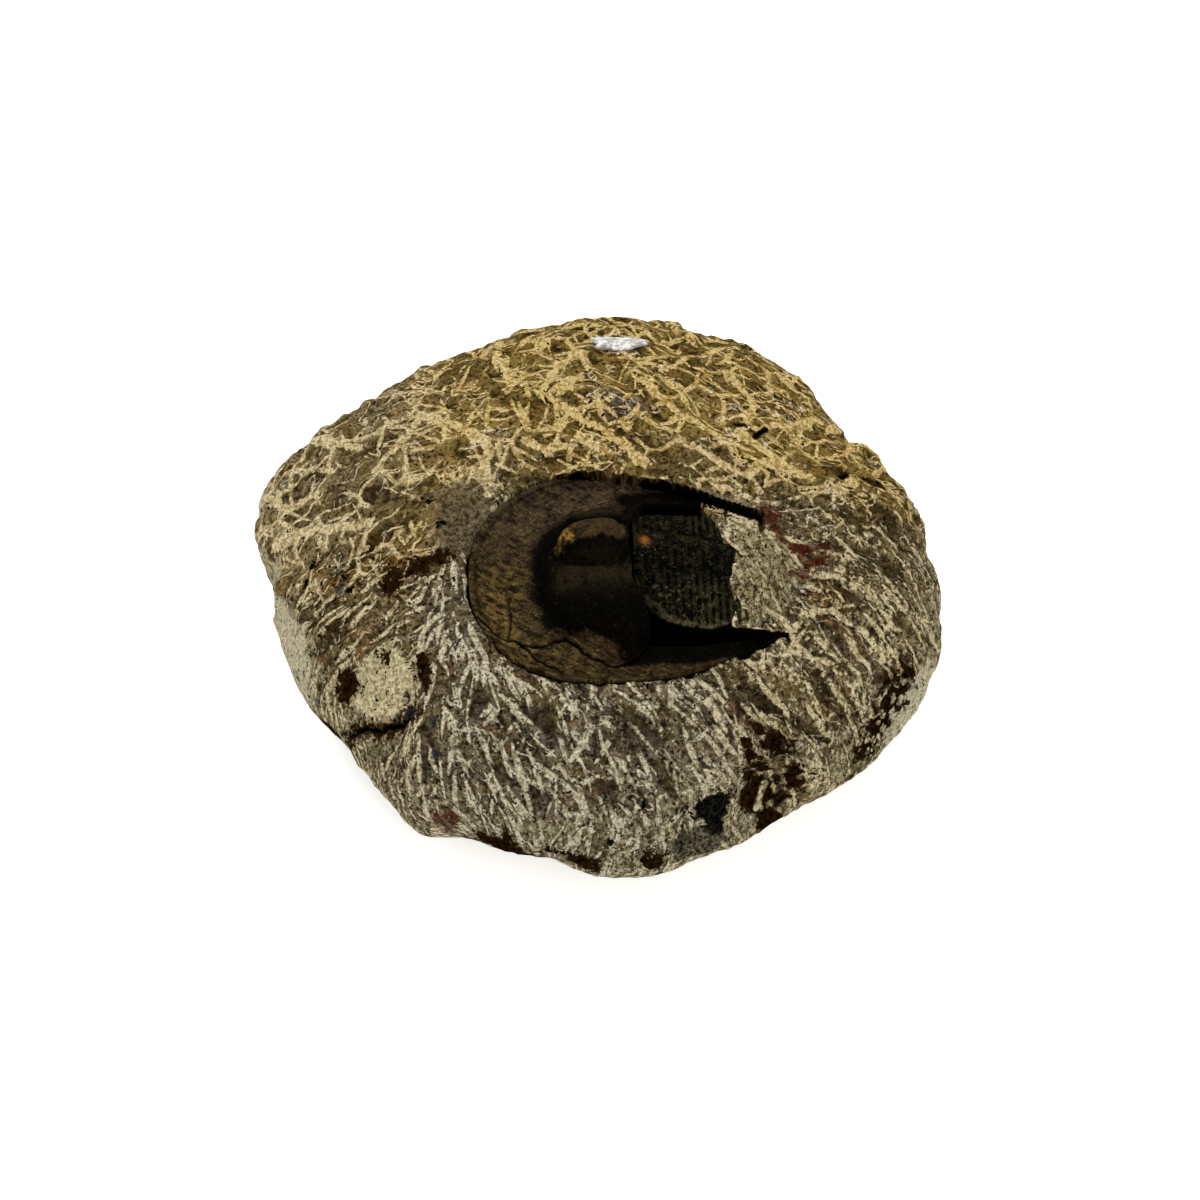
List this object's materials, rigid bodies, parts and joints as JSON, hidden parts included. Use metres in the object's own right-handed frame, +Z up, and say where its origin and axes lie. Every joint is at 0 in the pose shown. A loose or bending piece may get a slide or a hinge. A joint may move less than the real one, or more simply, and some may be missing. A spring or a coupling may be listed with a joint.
{
  "type": "trilobite fossil",
  "caption": "Trilobite fossil with a horseshoe head brim, two long horns and a ribbed thorax, fixed in the top of a rounded limestone nodule.",
  "frame": {"origin": "middle of the nodule's bounding box in plan, on the flat base that it rests on", "axes": "+Z up; +X along the animal, from its head to its tail; +Y to the animal's right side"},
  "size_m": [0.1011, 0.0976, 0.0384],
  "materials": {
    "limestone": null,
    "head_shell": null,
    "thorax_shell": null,
    "white_residue": null
  },
  "bodies": {
    "root": {"matrix": "limestone", "cephalon": "head_shell", "thorax": "thorax_shell", "white_residue": "white_residue"}
  },
  "joints": []
}
